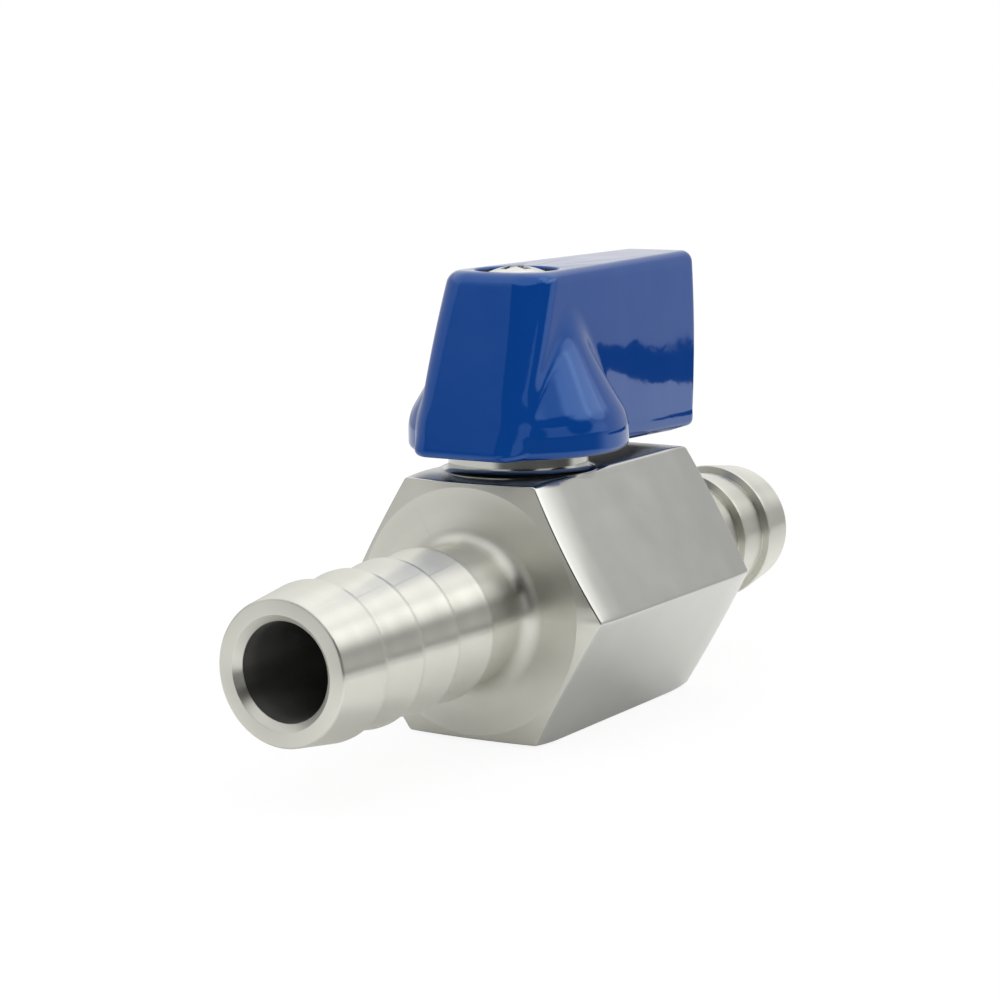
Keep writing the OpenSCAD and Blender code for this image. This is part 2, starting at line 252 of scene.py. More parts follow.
def turned_steel(name, dark, light, roughness, mark_depth):
    """Stainless steel off the lathe: fine turning marks round the axis and a soft stain."""
    material, shader, add, link = new_material(name)
    rings, place = turned_coordinates(add)
    marks = add("ShaderNodeTexNoise", {"Vector": rings}, Scale=800.0, Detail=0.0)
    bands = add("ShaderNodeTexNoise", {"Vector": rings}, Scale=700.0, Detail=2.0)
    stain = add("ShaderNodeTexNoise", {"Vector": place}, Scale=160.0, Detail=4.0)
    link(tint(add, stain.outputs["Fac"], dark, light), "Base Color")
    band_rough = spread(add, bands.outputs["Fac"], -0.025, 0.025)
    stain_rough = spread(add, stain.outputs["Fac"], roughness - 0.02, roughness + 0.02)
    rough = add("ShaderNodeMath", {0: band_rough, 1: stain_rough}, operation="ADD")
    link(rough.outputs[0], "Roughness")
    bump = add("ShaderNodeBump", {"Height": marks.outputs["Fac"]}, Strength=0.5, Distance=mark_depth * MM)
    link(bump.outputs[0], "Normal")
    tangent = add("ShaderNodeTangent", direction_type="RADIAL", axis="X")
    link(tangent.outputs[0], "Tangent")
    shader.inputs["Anisotropic"].default_value = 0.9
    shader.inputs["Anisotropic Rotation"].default_value = 0.25
    shader.inputs["Metallic"].default_value = 1.0
    return material


def polished_steel(name, dark, light, roughness, wave_depth):
    """Polished steel: smooth, with faint waves and scratches left by the polishing."""
    material, shader, add, link = new_material(name)
    place = add("ShaderNodeTexCoord").outputs["Object"]
    stretched = add("ShaderNodeMapping", {"Vector": place}, Scale=(0.15, 1.0, 1.0))
    waves = add("ShaderNodeTexNoise", {"Vector": place}, Scale=110.0, Detail=1.0)
    scratches = add("ShaderNodeTexNoise", {"Vector": stretched.outputs[0]}, Scale=3600.0, Detail=3.0)
    stain = add("ShaderNodeTexNoise", {"Vector": place}, Scale=240.0, Detail=5.0)
    link(tint(add, stain.outputs["Fac"], dark, light), "Base Color")
    link(spread(add, stain.outputs["Fac"], roughness - 0.03, roughness + 0.04), "Roughness")
    fine = add("ShaderNodeBump", {"Height": scratches.outputs["Fac"]}, Strength=0.3, Distance=0.002 * MM)
    bump = add("ShaderNodeBump", {"Height": waves.outputs["Fac"], "Normal": fine.outputs[0]},
               Strength=1.0, Distance=wave_depth * MM)
    link(bump.outputs[0], "Normal")
    shader.inputs["Metallic"].default_value = 1.0
    return material


def blue_coating():
    """Thick glossy blue coating on a die-cast lever: slight orange peel and slow waves."""
    material, shader, add, link = new_material("blue_coating")
    place = add("ShaderNodeTexCoord").outputs["Object"]
    peel = add("ShaderNodeTexNoise", {"Vector": place}, Scale=420.0, Detail=2.0, Roughness=0.4)
    swell = add("ShaderNodeTexNoise", {"Vector": place}, Scale=120.0, Detail=1.0)
    tone = add("ShaderNodeTexNoise", {"Vector": place}, Scale=90.0, Detail=3.0)
    link(tint(add, tone.outputs["Fac"], (0.0022, 0.045, 0.238), (0.0028, 0.051, 0.268)), "Base Color")
    link(spread(add, tone.outputs["Fac"], 0.04, 0.08), "Roughness")
    small = add("ShaderNodeBump", {"Height": peel.outputs["Fac"]}, Strength=0.6, Distance=0.03 * MM)
    large = add("ShaderNodeBump", {"Height": swell.outputs["Fac"], "Normal": small.outputs[0]},
                Strength=0.8, Distance=0.15 * MM)
    link(large.outputs[0], "Normal")
    shader.inputs["Specular IOR Level"].default_value = 0.9
    shader.inputs["Specular Tint"].default_value = (0.35, 0.60, 1.0, 1.0)
    return material


def plain_finish(name, dark, light, roughness, metallic, grain):
    """A finish for small pieces: two close tones and a fine grain."""
    material, shader, add, link = new_material(name)
    place = add("ShaderNodeTexCoord").outputs["Object"]
    noise = add("ShaderNodeTexNoise", {"Vector": place}, Scale=900.0, Detail=4.0)
    link(tint(add, noise.outputs["Fac"], dark, light), "Base Color")
    link(spread(add, noise.outputs["Fac"], roughness * 0.85, roughness * 1.15), "Roughness")
    bump = add("ShaderNodeBump", {"Height": noise.outputs["Fac"]}, Strength=0.4, Distance=grain * MM)
    link(bump.outputs[0], "Normal")
    shader.inputs["Metallic"].default_value = metallic
    return material


TURNED = turned_steel("turned_steel", dark=(0.645, 0.64, 0.575), light=(0.725, 0.72, 0.66),
                      roughness=0.345, mark_depth=0.004)
FLATS = polished_steel("polished_flats", dark=(0.52, 0.52, 0.485), light=(0.58, 0.58, 0.55),
                       roughness=0.14, wave_depth=0.010)
TOP_FLAT = polished_steel("satin_top_flat", dark=(0.52, 0.52, 0.485), light=(0.58, 0.58, 0.55),
                          roughness=0.23, wave_depth=0.010)
# The bore, cavity, thread and stem hole get a much darker steel than the turned outside: painted shade inside
# the body.
SHADED_BORE = turned_steel("bored_steel", dark=(0.20, 0.20, 0.19), light=(0.28, 0.275, 0.265),
                    roughness=0.40, mark_depth=0.012)
COATING = blue_coating()
BALL_STEEL = polished_steel("ball_steel", dark=(0.70, 0.70, 0.69), light=(0.76, 0.76, 0.75),
                            roughness=0.07, wave_depth=0.0)
STEM_STEEL = turned_steel("stem_steel", dark=(0.56, 0.55, 0.53), light=(0.64, 0.63, 0.61),
                          roughness=0.25, mark_depth=0.008)
SCREW_STEEL = plain_finish("screw_steel", dark=(0.60, 0.60, 0.58), light=(0.74, 0.74, 0.72),
                           roughness=0.23, metallic=1.0, grain=0.010)
# Near black in the screw's cross recess: painted shade in the recess.
RECESS_SHADE = plain_finish("screw_recess", dark=(0.020, 0.020, 0.020), light=(0.040, 0.040, 0.038),
                      roughness=0.60, metallic=0.0, grain=0.010)
PTFE = plain_finish("white_ptfe", dark=(0.78, 0.78, 0.76), light=(0.84, 0.84, 0.82),
                    roughness=0.42, metallic=0.0, grain=0.008)
# Near black on the lever's hollow, its pocket and the walls of its screw recess: painted shade, not a bare
# casting.
SHADE_BLACK = plain_finish("bare_casting", dark=(0.020, 0.021, 0.024), light=(0.034, 0.035, 0.038),
                       roughness=0.55, metallic=0.0, grain=0.010)
RUBBER = plain_finish("black_rubber", dark=(0.012, 0.012, 0.013), light=(0.022, 0.022, 0.023),
                      roughness=0.55, metallic=0.0, grain=0.010)


# Mesh tools

# Arcs fill up to ARC_ROOM of the edge between two corners, and points closer than JOIN_DISTANCE metres are one
ARC_STEPS = 5
ARC_ROOM = 0.96
JOIN_DISTANCE = 1e-7


def round_corners(corners, radii, tags):
    """Rounds the corners of closed outlines that lie side by side.

    corners is an array [corner, outline, 2]; a radius of 0 leaves a corner sharp. An arc shrinks
    where its neighbours leave it no room. Gives the points and, for each, its corner's tag."""
    before = np.roll(corners, 1, 0) - corners
    after = np.roll(corners, -1, 0) - corners
    length = np.linalg.norm(after, axis=2)
    towards = before / np.linalg.norm(before, axis=2)[..., None]
    onwards = after / length[..., None]
    half = 0.5 * np.arccos(np.clip((towards * onwards).sum(2), -1, 1))
    cut = np.array(radii)[:, None] / np.tan(half)
    room = np.minimum(1, ARC_ROOM * length / np.maximum(cut + np.roll(cut, -1, 0), 1e-9))
    cut = cut * np.minimum(room, np.roll(room, 1, 0))
    points, point_tags = [], []
    for i, radius in enumerate(radii):
        if radius == 0:
            points.append(corners[i])
            point_tags.append(tags[i])
            continue
        middle = towards[i] + onwards[i]
        middle = middle / np.linalg.norm(middle, axis=1)[:, None]
        centre = corners[i] + middle * (cut[i] / np.cos(half[i]))[:, None]
        start = corners[i] + towards[i] * cut[i][:, None] - centre
        end = corners[i] + onwards[i] * cut[i][:, None] - centre
        turn = np.pi - 2 * half[i]
        for step in range(ARC_STEPS + 1):
            share = step / ARC_STEPS
            a = (np.sin((1 - share) * turn) / np.sin(turn))[:, None]
            b = (np.sin(share * turn) / np.sin(turn))[:, None]
            points.append(centre + a * start + b * end)
            point_tags.append(tags[i])
    return np.array(points), point_tags


def new_piece(name, points, faces, materials):
    """An object with a mesh from points in millimetres and faces."""
    mesh = bpy.data.meshes.new(name)
    mesh.from_pydata((np.reshape(points, (-1, 3)) * MM).tolist(), [], faces)
    for material in materials:
        mesh.materials.append(material)
    piece = bpy.data.objects.new(name, mesh)
    bpy.context.scene.collection.objects.link(piece)
    return piece


def ring_mesh(name, rows, row_materials, materials):
    """A closed mesh from rows of points, each row a closed ring, the last joined to the first.

    row_materials names the material of the faces from each row to the next."""
    count, width = rows.shape[:2]
    faces, indices = [], []
    for i in range(count):
        k = (i + 1) % count
        for j in range(width):
            m = (j + 1) % width
            faces.append((i * width + j, i * width + m, k * width + m, k * width + j))
            indices.append(row_materials[i])
    piece = new_piece(name, rows, faces, materials)
    piece.data.polygons.foreach_set("material_index", indices)
    clean(piece.data)
    return piece


def clean(mesh):
    """Joins points that coincide, removes empty faces and loose edges, and turns all faces outwards."""
    bm = bmesh.new()
    bm.from_mesh(mesh)
    bmesh.ops.remove_doubles(bm, verts=bm.verts, dist=JOIN_DISTANCE)
    bmesh.ops.dissolve_degenerate(bm, edges=bm.edges, dist=JOIN_DISTANCE)
    bmesh.ops.delete(bm, geom=[edge for edge in bm.edges if not edge.link_faces], context="EDGES")
    bmesh.ops.recalc_face_normals(bm, faces=bm.faces)
    bm.to_mesh(mesh)
    bm.free()


def lathe(name, shape, axis, materials, width, start=0.0, end=2 * math.pi):
    """Turns a closed outline of radius and height round X or Z, all the way or over a sector.

    width is the number of points round the axis."""
    points, tags = shape
    full = end - start > 2 * math.pi - 1e-6
    angles = np.linspace(start, end, width, endpoint=not full)
    radius, height = points[:, 0, 0], points[:, 0, 1]
    a = np.outer(radius, np.cos(angles))
    b = np.outer(radius, np.sin(angles))
    h = np.repeat(height[:, None], width, 1)
    rows = np.stack([h, a, b] if axis == "X" else [a, b, h], 2)
    if full:
        return ring_mesh(name, rows, tags, materials)
    count = len(points)
    faces = [tuple(range(count)), tuple((width - 1) * count + i for i in range(count))]
    for i in range(width - 1):
        for j in range(count):
            k = (j + 1) % count
            faces.append((i * count + j, i * count + k, (i + 1) * count + k, (i + 1) * count + j))
    piece = new_piece(name, rows.transpose(1, 0, 2), faces, materials)
    clean(piece.data)
    return piece


def outline(corners):
    """A closed outline with rounded corners, from rows of radius, height, rounding and material tag."""
    points = np.array([[c[:2]] for c in corners], float)
    return round_corners(points, [c[2] for c in corners], [c[3] for c in corners])


def prism(name, low_outline, low_z, high_outline, high_z, material):
    """A closed solid between two outlines of the same number of points, each at its own height."""
    count = len(low_outline)
    points = [(x, y, low_z) for x, y in low_outline] + [(x, y, high_z) for x, y in high_outline]
    faces = [tuple(range(count)), tuple(range(count, 2 * count))]
    for i in range(count):
        before = (i - 1) % count
        faces.append((before, i, count + i, count + before))
    piece = new_piece(name, points, faces, [material])
    clean(piece.data)
    return piece


def combine(piece, other, operation):
    """Applies a union or difference with another closed piece, which is then removed."""
    modifier = piece.modifiers.new("combine", "BOOLEAN")
    modifier.operation = operation
    modifier.solver = "EXACT"
    modifier.object = other
    bpy.context.view_layer.update()
    solved = piece.evaluated_get(bpy.context.evaluated_depsgraph_get())
    result = bpy.data.meshes.new_from_object(solved)
    piece.modifiers.clear()
    piece.data = result
    bpy.data.objects.remove(other)


def centre_turning(mesh):
    """Puts the middle of the mesh's texture space on the flow axis, so that turning marks run round it."""
    mesh.use_auto_texspace = False
    mesh.texspace_location = (0, 0, 0)
    mesh.texspace_size = [NEAR_NOSE * MM] * 3


def smooth_shading(piece, angle=32.0):
    """Smooth shading with flat faces kept flat: sharp edges stay sharp and large faces lead the normals."""
    piece.data.polygons.foreach_set("use_smooth", [True] * len(piece.data.polygons))
    piece.data.set_sharp_from_angle(angle=math.radians(angle))
    weighted = piece.modifiers.new("weighted_normals", "WEIGHTED_NORMAL")
    weighted.keep_sharp = True
    weighted.weight = 90


# Body

def barb_corners(face, outward, count, tag):
    """Corners of a barb from the nose back to the neck, as rows of radius, x, rounding and material tag."""
    nose = face + outward * (NECK_LEN + count * BARB_PITCH)
    corners = [(BORE_R + MOUTH_CHAMFER, nose, MOUTH_EDGE, tag), (NOSE_R, nose, NOSE_EDGE, tag)]
    for i in reversed(range(count)):
        crest = face + outward * (NECK_LEN + i * BARB_PITCH)
        root_r = VALLEY_R if i else NECK_R
        corners += [(CREST_R, crest + outward * CREST_LAND, LAND_ROUND, tag),
                    (CREST_R, crest, CREST_EDGE, tag), (root_r, crest, ROOT_ROUND, tag)]
    return corners


def hex_angles():
    """Angles round the hexagon: even over the flats and closer together round its rounded edges."""
    corner = CORNER_R * math.sin(HALF_SIDE) / (FLAT / math.cos(HALF_SIDE))
    over_flat = np.linspace(-HALF_SIDE + corner, HALF_SIDE - corner, FLAT_POINTS)
    over_corner = np.linspace(HALF_SIDE - corner, HALF_SIDE + corner, CORNER_POINTS)[1:-1]
    side = np.concatenate([over_flat, over_corner])
    return np.concatenate([side + math.radians(60 * i) for i in range(6)])


def hex_radius(angles):
    """Distance from the axis to the rounded hexagon, at angles from the middle of the top flat."""
    local = (angles + HALF_SIDE) % math.radians(60) - HALF_SIDE
    flat = FLAT / np.cos(local)
    centre = (FLAT - CORNER_R) / math.cos(HALF_SIDE)
    off = np.abs(local) - HALF_SIDE
    inside = np.maximum(CORNER_R ** 2 - (centre * np.sin(off)) ** 2, 0)
    arc = centre * np.cos(off) + np.sqrt(inside)
    touch = math.atan2((FLAT - CORNER_R) * math.tan(HALF_SIDE), FLAT)
    return np.where(np.abs(local) > touch, arc, flat)


def hex_edges(hexagon, flat_tag, end_tag):
    """The hexagon's outline from its near chamfer to its far one, with the roll-off of the flats' ends."""
    drop = (hexagon - ROLL_DROP - FACE_R) * math.tan(CHAMFER_ANGLE)
    edges = [(hexagon - ROLL_DROP, -NEAR_FACE + drop, EDGE_R, flat_tag)]
    for share in ROLL_SHARES:
        place = -NEAR_FACE + drop + ROLL_LEN * (1 - share)
        edges.append((hexagon - ROLL_DROP * share ** 2, place, 0, flat_tag))
    for share in reversed(ROLL_SHARES):
        place = FAR_FACE - drop - ROLL_LEN * (1 - share)
        edges.append((hexagon - ROLL_DROP * share ** 2, place, 0, flat_tag))
    edges.append((hexagon - ROLL_DROP, FAR_FACE - drop, EDGE_R, end_tag))
    return edges


def make_boss():
    """The boss under the lever, with a fillet onto the top flat and a root inside the body."""
    foot = BOSS_R + BOSS_FILLET
    shape = outline([(BOSS_CORE_R, FLAT - BOSS_ROOT, 0, 0), (foot, FLAT - BOSS_ROOT, 0, 0),
                     (foot, FLAT, 0, 0), (BOSS_R, FLAT, BOSS_FILLET, 0), (BOSS_R, BOSS_TOP, BOSS_EDGE, 0),
                     (BOSS_CORE_R, BOSS_TOP, 0, 0)])
    return lathe("boss", shape, "Z", [FLATS], width=144)


def make_stop():
    """The half ring on the boss that the lever runs against."""
    outer_r = BOSS_R - STOP_INSET
    low, high = BOSS_TOP - STOP_ROOT, BOSS_TOP + STOP_H
    shape = outline([(STOP_BORE_R, low, 0, 0), (outer_r, low, 0, 0), (outer_r, high, 0, 0),
                     (STOP_BORE_R, high, 0, 0)])
    return lathe("stop", shape, "Z", [FLATS], width=36, start=math.radians(STOP_START),
                 end=math.radians(STOP_END))


def stem_hole():
    """The space for the stem: the pocket for its collar and rings, and the narrower hole through the boss."""
    top = BOSS_TOP + HOLE_SPARE
    shape = outline([(0, HOLE_BOTTOM, 0, 0), (POCKET_R, HOLE_BOTTOM, 0, 0), (POCKET_R, thrust_high.z, 0, 0),
                     (STEM_R + FIT, thrust_high.z, 0, 0), (STEM_R + FIT, top, 0, 0), (0, top, 0, 0)])
    # The hole's walls take the painted shade of the bore.
    return lathe("stem_hole", shape, "Z", [SHADED_BORE], width=96)


def make_body():
    """Hexagon, near barb, bore and cavity as one shell, then the boss, its stop and the stem's hole."""
    angles = hex_angles()
    barb, flats, bore, top = 0, 1, 2, 3
    rows = barb_corners(-NEAR_FACE, -1, NEAR_CRESTS, barb)
    rows += [(NECK_R, -NEAR_FACE, NECK_FILLET, barb), (FACE_R, -NEAR_FACE, FACE_EDGE, barb)]
    rows += hex_edges(hex_radius(angles), flats, barb)
    rows += [(FACE_R, FAR_FACE, FACE_EDGE, barb), (THREAD_R + FIT + THREAD_CHAMFER, FAR_FACE, 0, barb),
             (THREAD_R + FIT, FAR_FACE - THREAD_CHAMFER, 0, bore), (THREAD_R + FIT, seal_low.x, 0, bore),
             (CAVITY_R, seal_low.x, 0, bore), (CAVITY_R, seat_low.x, 0, bore), (BORE_R, seat_low.x, 0, bore),
             (BORE_R, -NEAR_NOSE + MOUTH_CHAMFER, MOUTH_ROUND, barb)]
    corners, radii, tags = [], [], []
    for radius, x, rounding, tag in rows:
        corners.append(np.stack([np.broadcast_to(radius, angles.shape), np.broadcast_to(x, angles.shape)], 1))
        radii.append(rounding)
        tags.append(tag)
    points, point_tags = round_corners(np.array(corners, float), radii, tags)
    radius, x = points[..., 0], points[..., 1]
    shell = np.stack([x, -radius * np.sin(angles), radius * np.cos(angles)], 2)
    body = ring_mesh("valve_body", shell, point_tags, [TURNED, FLATS, SHADED_BORE, TOP_FLAT])
    combine(body, make_boss(), "UNION")
    combine(body, make_stop(), "UNION")
    combine(body, stem_hole(), "DIFFERENCE")
    for face in body.data.polygons:
        if face.material_index == flats and face.normal.z > UPWARD:
            face.material_index = top
    centre_turning(body.data)
    smooth_shading(body)
    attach(body, "valve_body")
    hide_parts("body")
    return body


def make_adapter():
    """Screwed-in end with the far barb, its threaded collar and its spigot."""
    barb, bore = 0, 1
    corners = barb_corners(FAR_FACE, 1, FAR_CRESTS, barb)
    corners += [(NECK_R, FAR_FACE, NECK_FILLET, barb), (THREAD_R - THREAD_CHAMFER, FAR_FACE, 0, barb),
                (THREAD_R, FAR_FACE - THREAD_CHAMFER, 0, bore), (THREAD_R, seal_high.x, 0, bore),
                (CAVITY_R - FIT, seal_high.x, 0, bore), (CAVITY_R - FIT, adapter_low.x, 0, bore),
                (BORE_R, adapter_low.x, 0, bore), (BORE_R, FAR_NOSE - MOUTH_CHAMFER, MOUTH_ROUND, barb)]
    adapter = lathe("far_end_adapter", outline(corners), "X", [TURNED, SHADED_BORE], width=160)
    centre_turning(adapter.data)
    smooth_shading(adapter)
    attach(adapter, "valve_body")
    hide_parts("end_adapter")
    return adapter


# Lever

def lever_angles():
    """Angles round the stem's axis: close together at the far corners, and a pair at each end of the stop."""
    stop = 180 - math.degrees(STOP_HALF_ANGLE)
    side = np.concatenate([np.linspace(*run) for run in LEVER_RUNS]
                          + [SQUARE_CORNERS, [180], [stop - 0.01, stop + 0.01]])
    side = np.unique(side.round(4))
    return np.radians(np.concatenate([side, -side[1:-1][::-1]]))


def smooth_max(a, b, width):
    """The larger of two values, blended where they are closer than width."""
    near = np.maximum(width - np.abs(a - b), 0) / width
    return np.maximum(a, b) + near * near * width / 4


def bar_radius(angles, z, inset):
    """Distances from the stem's axis to the tapered bar's outline and to its near face, moved in by inset.

    The bar's outline is the hull of four discs, so its edge in any direction is the nearest of the
    tangent lines that its normals give."""
    rise = LEVER_TOP - LEVER_ROUND - z
    share = rise / (LEVER_TOP - LEVER_BOTTOM - LEVER_ROUND - LOWER_ROUND)
    near = NEAR_TOP + (NEAR_BOTTOM - NEAR_TOP) * share
    corner = NEAR_CORNER + (NEAR_CORNER_LOW - NEAR_CORNER) * min(max(share, 0), 1)
    level = (z - (LEVER_TOP + LEVER_BOTTOM) / 2) / ((LEVER_TOP - LEVER_BOTTOM) / 2)
    bead = min(max((LEVER_BOTTOM + BEAD_H - z) / BEAD_FADE, 0), 1)
    bulge = SIDE_CROWN * (1 - level * level) + BEAD * bead * bead * (3 - 2 * bead)
    discs = [(corner - near, side * (NEAR_HALF - corner + bulge), corner) for side in (1, -1)]
    discs += [(lever_high.x - FAR_CORNER, side * (FAR_HALF - FAR_CORNER + bulge), FAR_CORNER)
              for side in (1, -1)]
    (near_x, near_y, near_r), (far_x, far_y, far_r) = discs[0], discs[2]
    apart = math.hypot(far_x - near_x, far_y - near_y)
    side_normal = math.atan2(far_y - near_y, far_x - near_x) + math.acos((near_r - far_r) / apart)
    normals = np.concatenate([np.linspace(-math.pi, math.pi, HULL_NORMALS), [side_normal, -side_normal]])
    reach = np.max([x * np.cos(normals) + y * np.sin(normals) + r for x, y, r in discs], axis=0) - inset
    facing = np.cos(normals[None, :] - angles[:, None])
    grazing, no_hit = 1e-3, 1e9
    hits = np.where(facing > grazing, reach[None, :] / np.maximum(facing, grazing), no_hit)
    ahead = np.cos(angles)
    plane = np.where(ahead < -grazing, -(near - inset) / np.minimum(ahead, -grazing), no_hit)
    return hits.min(1), plane


def bell_radius(z):
    """Radius of the skirt and the bell above it at one height."""
    bend = BELL_ROUND * math.tan(BELL_ANGLE / 2)
    up = z - LEVER_BOTTOM - SKIRT_H
    if up < -bend:
        return SKIRT_R
    past = up - bend * math.cos(BELL_ANGLE)
    if past < 0:
        return SKIRT_R - BELL_ROUND + math.sqrt(BELL_ROUND ** 2 - (up + bend) ** 2)
    return max(SKIRT_R - up * math.tan(BELL_ANGLE) + BELL_FLARE * past * past, LEAST_R)


def edge_inset(depth, rounding):
    """How far a rounded edge lies inside its corner, at a depth below the corner."""
    if depth >= rounding:
        return 0.0
    return rounding - math.sqrt(rounding ** 2 - (rounding - depth) ** 2)


def pocket_outline():
    """Outline of the pocket in the underside of the bar, with rounded corners."""
    ends = []
    for x in (HOLLOW_R + LEVER_WALL, lever_high.x - LEVER_WALL):
        half = NEAR_HALF - (NEAR_HALF - FAR_HALF) * (x + NEAR_TOP) / (lever_high.x + NEAR_TOP)
        ends.append((x, half - LEVER_WALL))
    (from_x, from_y), (to_x, to_y) = ends
    corners = np.array([[(to_x, to_y)], [(from_x, from_y)], [(from_x, -from_y)], [(to_x, -to_y)]])
    return round_corners(corners, [POCKET_CORNER] * 4, [0] * 4)[0][:, 0]


def lever_skin(angles, depths):
    """Distance from the stem's axis to the lever's outside, for each depth below its top and each angle."""
    height = LEVER_TOP - LEVER_BOTTOM
    skin = []
    for depth in depths:
        z = LEVER_TOP - depth
        lower_inset = edge_inset(height - depth, LOWER_ROUND)
        bar, plane = bar_radius(angles, z, edge_inset(depth, LEVER_ROUND) + lower_inset)
        bell = bell_radius(z) - lower_inset
        skin.append(np.minimum(smooth_max(bar, np.full(angles.shape, bell), CREASE), plane))
    return np.array(skin)


def far_drop(angles, radius):
    """How far the underside drops towards the far end of the bar, at each angle."""
    start = NEAR_CORNER - NEAR_BOTTOM
    end = lever_high.x - FAR_CORNER
    along = np.clip((radius * np.cos(angles) - start) / (end - start), 0, 1)
    turn = np.clip((DROP_START - np.degrees(np.abs(angles))) / DROP_FADE, 0, 1)
    return FAR_DROP * along * turn * turn * (3 - 2 * turn)


def make_lever():
    """The lever: a tapered bar that grows into a bell round the stem, with its recess and hollow."""
    angles = lever_angles()
    height = LEVER_TOP - LEVER_BOTTOM
    curve = 1 - np.cos(np.linspace(0, math.pi / 2, EDGE_ROWS))
    side = np.linspace(LEVER_ROUND, height - LOWER_ROUND, SIDE_ROWS)[1:-1]
    depths = np.concatenate([LEVER_ROUND * curve, side, height - LOWER_ROUND * curve[::-1]])
    skin = lever_skin(angles, depths)
    drop = far_drop(angles, skin[len(depths) // 2])
    rows = []

    def add_row(radius, z):
        radius = np.broadcast_to(radius, angles.shape)
        rows.append(np.stack([radius * np.cos(angles), radius * np.sin(angles),
                              np.broadcast_to(z, angles.shape)], 1))

    for depth, radius in zip(depths, skin):
        add_row(radius, LEVER_TOP - depth - drop * depth / height)
    in_stop = np.abs(angles) > math.pi - STOP_HALF_ANGLE
    stop_z = np.where(in_stop, STOP_FLOOR, CEILING)
    square = SQUARE_HALF / np.maximum(np.abs(np.cos(angles)), np.abs(np.sin(angles)))
    add_row(HOLLOW_R + HOLLOW_CHAMFER, LEVER_BOTTOM - drop / 2)
    add_row(HOLLOW_R, LEVER_BOTTOM + HOLLOW_CHAMFER)
    add_row(HOLLOW_R, stop_z)
    add_row(STOP_BORE_R, stop_z)
    add_row(STOP_BORE_R, CEILING)
    add_row(square, CEILING)
    add_row(square, SCREW_SEAT)
    add_row(RECESS_R, SCREW_SEAT)
    for step in np.linspace(0, math.pi / 2, LIP_ROWS):
        add_row(RECESS_R + RECESS_LIP * (1 - math.cos(step)), LEVER_TOP - RECESS_LIP * (1 - math.sin(step)))
    # Rows inside the hollow, the stop, the square and the recess wall get the painted shade black; the outside
    # and the recess lip keep the coating.
    coated, shaded = 0, 1
    hidden = len(rows) - len(depths) - LIP_ROWS
    tags = [coated] * len(depths) + [shaded] * hidden + [coated] * LIP_ROWS
    lever = ring_mesh("lever_handle", np.array(rows), tags, [COATING, SHADE_BLACK])
    pocket = pocket_outline()
    # The bar's pocket walls take the painted shade black from the cut.
    combine(lever, prism("bar_pocket", pocket, FLAT, pocket, LEVER_TOP - LEVER_ROOF, SHADE_BLACK), "DIFFERENCE")
    smooth_shading(lever, angle=40.0)
    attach(lever, "lever_and_stem")
    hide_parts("lever")
    return lever


# Screw

def make_screw():
    """Pan head screw with a cross recess."""
    head_seat = washer_high.z
    head_r = screw_high.y
    dome_h = (screw_high.z - head_seat) * DOME_SHARE
    dome_r = (head_r ** 2 + dome_h ** 2) / (2 * dome_h)
    corners = [(0, screw_low.z, 0, 0), (SHAFT_R - SHAFT_TIP, screw_low.z, 0, 0),
               (SHAFT_R, screw_low.z + SHAFT_TIP, 0, 0), (SHAFT_R, head_seat, 0, 0),
               (head_r, head_seat, HEAD_EDGE, 0), (head_r, screw_high.z - dome_h, DOME_EDGE, 0)]
    for radius in np.linspace(head_r * DOME_START, 0, DOME_POINTS, endpoint=False):
        corners.append((radius, screw_high.z - dome_r + math.sqrt(dome_r ** 2 - radius ** 2), 0, 0))
    corners.append((0, screw_high.z, 0, 0))
    screw = lathe("lever_cross_screw", outline(corners), "Z", [SCREW_STEEL], width=96)
    for turn in (CROSS_TURN, CROSS_TURN + 90):
        combine(screw, cross_arm(math.radians(turn), screw_high.z), "DIFFERENCE")
    smooth_shading(screw)
    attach(screw, "lever_and_stem")
    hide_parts("lever_screw")
    return screw


def cross_arm(turn, top):
    """A wedge that narrows downwards, for one arm of the cross recess."""
    def corners(half_long, half_wide):
        return [(-half_long, -half_wide), (half_long, -half_wide),
                (half_long, half_wide), (-half_long, half_wide)]

    # The arm's faces carry the painted shade into the recess.
    arm = prism("cross_arm", corners(*CROSS_BOTTOM), top - CROSS_DEPTH,
                corners(*CROSS_MOUTH), top + CROSS_SPARE, RECESS_SHADE)
    arm.data.transform(Matrix.Rotation(turn, 4, "Z"))
    return arm


def finish_inner_pieces():
    """The pieces whose CAD shape is right keep it and get their finish."""
    finishes = {"ball": (BALL_STEEL, "bright_steel"), "seat_near": (PTFE, "ptfe"), "seat_far": (PTFE, "ptfe"),
                "body_seal": (PTFE, "ptfe"), "thrust_washer": (PTFE, "ptfe"),
                "stem": (STEM_STEEL, "bright_steel"), "stem_ring_lower": (RUBBER, "rubber"),
                "stem_ring_upper": (RUBBER, "rubber"), "lever_washer": (SCREW_STEEL, "bright_steel")}
    for node, (material, slot) in finishes.items():
        piece = frame["nodes"][node]
        piece.data.materials.clear()
        piece.data.materials.append(material)


# Floor, light and camera

# The floor and the surroundings are in metres and degrees. Azimuths go from +X towards +Y.
FLOOR_R = 1.5
FLOOR_COLOUR = (0.86, 0.86, 0.86, 1)
# The floor as the camera sees it: brightness of its own light, and that light's share beside the colour
FLOOR_WHITE = (1.05, 0.85)
# The floor as reflections see it: distance from its middle, brightness of its own light, and its share
FLOOR_BANDS = [(0.0115, 1.8, 0.02), (0.0150, 1.8, 0.13), (0.022, 1.8, 0.21), (0.030, 1.8, 0.25),
               (0.050, 1.6, 0.36), (0.064, 0.95, 0.8), (0.095, 0.90, 1.0), (0.130, 0.94, 1.0),
               (0.240, 0.92, 1.0), (0.290, 0.58, 1.0)]
FLOOR_SPAN = 0.4
